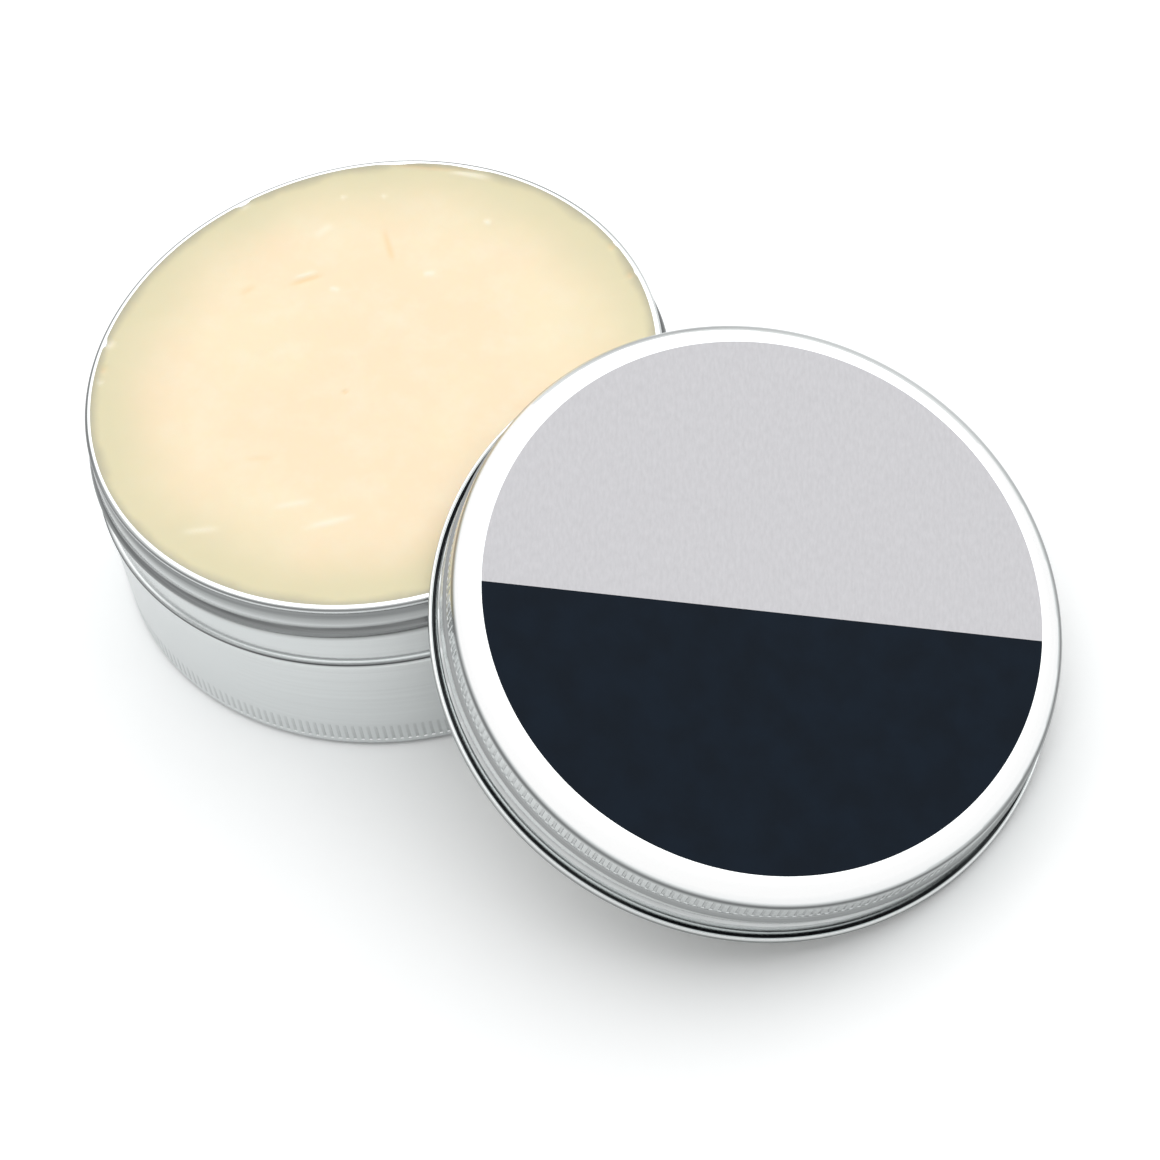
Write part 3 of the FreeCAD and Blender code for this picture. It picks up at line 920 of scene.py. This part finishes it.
def build_liner(sheet, lid, liner):
    flat = skirt_radius(lid) - lid.step - lid.corner
    top = sheet.wall + liner.clearance
    bottom = top + liner.thickness
    reach = lid.corner - top
    end = math.degrees(math.asin((lid.corner - bottom) / reach))
    edge_rounding = 0.06 * mm
    ring_width = 1.2 * mm
    outline = [(0, -top)]
    outline += run(outline, (flat, -top))
    outline += bend((flat, -lid.corner), reach, 84, end, 8)
    outline += [(outline[-1][0] - edge_rounding, -bottom)]
    outline += run(outline, (0, -bottom), ring_width)
    piece = spin_section("liner", outline, segments=240)
    edge_fade = 2 * mm
    radius, _, height = around(piece.data.vertices)
    under = (height < -bottom + WELD) * np.clip((flat - radius) / edge_fade, 0, 1)
    push(piece, under, 0.12 * mm, "Z", clouds("foam_waves", 9 * mm, 2), 0.3)
    lean(piece)
    return piece


def build_label(label):
    radius = label_high.y
    outline = [(0, 0)]
    outline += run(outline, (radius - label.edge, 0))
    outline += [(radius, label.edge)]
    outline += bend((radius - label.edge, label.thickness - label.edge), label.edge, 0, 90, 4)
    outline += run(outline, (0, label.thickness))
    piece = spin_section("label", outline, segments=360)
    lean(piece)
    return piece


# Operators ------------------------------------------------

class TIN_OT_tin(bpy.types.Operator):
    """Build the tin with its knurled foot, thread and rolled rim"""
    bl_idname = "polish_tin.tin"
    bl_label = "Tin"

    def execute(self, context):
        sheet = context.scene.tin_sheet
        piece = build_tin(sheet, context.scene.tin_body)
        hand_over(piece, "tin", "tin_base", aluminium("tin_aluminium", sheet))
        return {"FINISHED"}


class TIN_OT_wax(bpy.types.Operator):
    """Build the wax that fills the tin"""
    bl_idname = "polish_tin.wax"
    bl_label = "Wax"

    def execute(self, context):
        scene = context.scene
        piece = build_wax(scene.tin_sheet, scene.tin_body, scene.tin_wax)
        material = wax_material(scene.tin_wax, wax_reach(scene.tin_body, scene.tin_wax))
        hand_over(piece, "tin", "polish_wax", material, 60)
        return {"FINISHED"}


class TIN_OT_lid(bpy.types.Operator):
    """Build the lid with its knurled band, thread and rolled edge"""
    bl_idname = "polish_tin.lid"
    bl_label = "Lid"

    def execute(self, context):
        sheet = context.scene.tin_sheet
        piece = build_lid(sheet, context.scene.tin_lid)
        hand_over(piece, "lid", "lid", aluminium("lid_aluminium", sheet, True))
        return {"FINISHED"}


class TIN_OT_liner(bpy.types.Operator):
    """Build the foam liner inside the lid"""
    bl_idname = "polish_tin.liner"
    bl_label = "Liner"

    def execute(self, context):
        scene = context.scene
        piece = build_liner(scene.tin_sheet, scene.tin_lid, scene.tin_liner)
        hand_over(piece, "liner", "lid_liner", foam_material(scene.tin_liner))
        return {"FINISHED"}


class TIN_OT_label(bpy.types.Operator):
    """Build the label on the lid"""
    bl_idname = "polish_tin.label"
    bl_label = "Label"

    def execute(self, context):
        label = context.scene.tin_label
        piece = build_label(label)
        hand_over(piece, "lid", "lid_label", label_material(label))
        return {"FINISHED"}


class TIN_OT_stage(bpy.types.Operator):
    """Set up the floor, the lamps and the camera"""
    bl_idname = "polish_tin.stage"
    bl_label = "Stage"

    def execute(self, context):
        stage = context.scene.tin_stage
        lay_floor(stage)
        light_scene(context.scene, stage)
        place_camera(context.scene, stage)
        return {"FINISHED"}


def lay_floor(stage):
    bpy.ops.object.select_all(action="DESELECT")
    bpy.ops.mesh.primitive_plane_add(size=FLOOR_WIDTH, location=(0, 0, 0))
    floor = bpy.context.object
    floor.name = "floor"
    floor.data.materials.append(floor_material(stage))


def light_scene(scene, stage):
    """A large softbox overhead and a pale room that fills in from all round."""
    lamp = bpy.data.lights.new("softbox", "AREA")
    lamp.shape = "SQUARE"
    lamp.size = stage.softbox_size
    lamp.energy = stage.softbox_power
    holder = bpy.data.objects.new("softbox", lamp)
    holder.location = SOFTBOX_PLACE
    downward = SOFTBOX_AIM - SOFTBOX_PLACE
    holder.rotation_euler = downward.to_track_quat("-Z", "Y").to_euler()
    scene.collection.objects.link(holder)

    world = bpy.data.worlds.new("pale_room")
    world.use_nodes = True
    tree = world.node_tree
    tree.nodes.clear()
    output = tree.nodes.new("ShaderNodeOutputWorld")
    light = tree.nodes.new("ShaderNodeBackground")
    light.inputs["Color"].default_value = (1.0, 1.0, 1.0, 1.0)
    light.inputs["Strength"].default_value = stage.fill
    shown = tree.nodes.new("ShaderNodeBackground")
    shown.inputs["Color"].default_value = (1.0, 1.0, 1.0, 1.0)
    path = tree.nodes.new("ShaderNodeLightPath")
    blend = tree.nodes.new("ShaderNodeMixShader")
    seen = path.outputs["Is Camera Ray"]
    for ray in ("Is Glossy Ray", "Is Transmission Ray"):
        either = tree.nodes.new("ShaderNodeMath")
        either.operation = "MAXIMUM"
        tree.links.new(seen, either.inputs[0])
        tree.links.new(path.outputs[ray], either.inputs[1])
        seen = either.outputs[0]
    tree.links.new(seen, blend.inputs[0])
    tree.links.new(light.outputs[0], blend.inputs[1])
    tree.links.new(shown.outputs[0], blend.inputs[2])
    tree.links.new(blend.outputs[0], output.inputs["Surface"])
    scene.world = world


def place_camera(scene, stage):
    camera = bpy.data.cameras.new("camera")
    camera.sensor_width = 36.0
    camera.lens = stage.focal
    camera.clip_start = 0.05
    camera.clip_end = 20.0
    holder = bpy.data.objects.new("camera", camera)
    flat = math.cos(stage.elevation)
    towards = Vector((flat * math.cos(stage.azimuth), flat * math.sin(stage.azimuth),
                      math.sin(stage.elevation)))
    level = (-towards).to_track_quat("-Z", "Y").to_matrix()
    holder.rotation_euler = (level @ Matrix.Rotation(-stage.roll, 3, "Z")).to_euler()
    holder.location = Vector(stage.aim) + towards * stage.distance
    scene.collection.objects.link(holder)
    scene.camera = holder


class TIN_PT_panel(bpy.types.Panel):
    """Sizes, colours and build buttons of the polish tin"""
    bl_idname = "TIN_PT_panel"
    bl_label = "Polish Tin"
    bl_space_type = "VIEW_3D"
    bl_region_type = "UI"
    bl_category = "Polish Tin"

    def draw(self, context):
        for operator in OPERATORS:
            self.layout.operator(operator.bl_idname)
        for name, group in SETTINGS.items():
            box = self.layout.box()
            box.label(text=group.__doc__)
            for prop in group.__annotations__:
                box.prop(getattr(context.scene, name), prop)


OPERATORS = (TIN_OT_tin, TIN_OT_wax, TIN_OT_lid, TIN_OT_liner, TIN_OT_label, TIN_OT_stage)


def register():
    for name, group in SETTINGS.items():
        bpy.utils.register_class(group)
        setattr(bpy.types.Scene, name, bpy.props.PointerProperty(type=group))
    for operator in OPERATORS:
        bpy.utils.register_class(operator)
    bpy.utils.register_class(TIN_PT_panel)


def unregister():
    bpy.utils.unregister_class(TIN_PT_panel)
    for operator in reversed(OPERATORS):
        bpy.utils.unregister_class(operator)
    for name, group in SETTINGS.items():
        delattr(bpy.types.Scene, name)
        bpy.utils.unregister_class(group)


def main():
    register()
    bpy.context.scene.view_settings.view_transform = "Standard"
    bpy.ops.polish_tin.tin()
    bpy.ops.polish_tin.wax()
    bpy.ops.polish_tin.lid()
    bpy.ops.polish_tin.liner()
    bpy.ops.polish_tin.label()
    bpy.ops.polish_tin.stage()


if __name__ == "__main__":
    main()
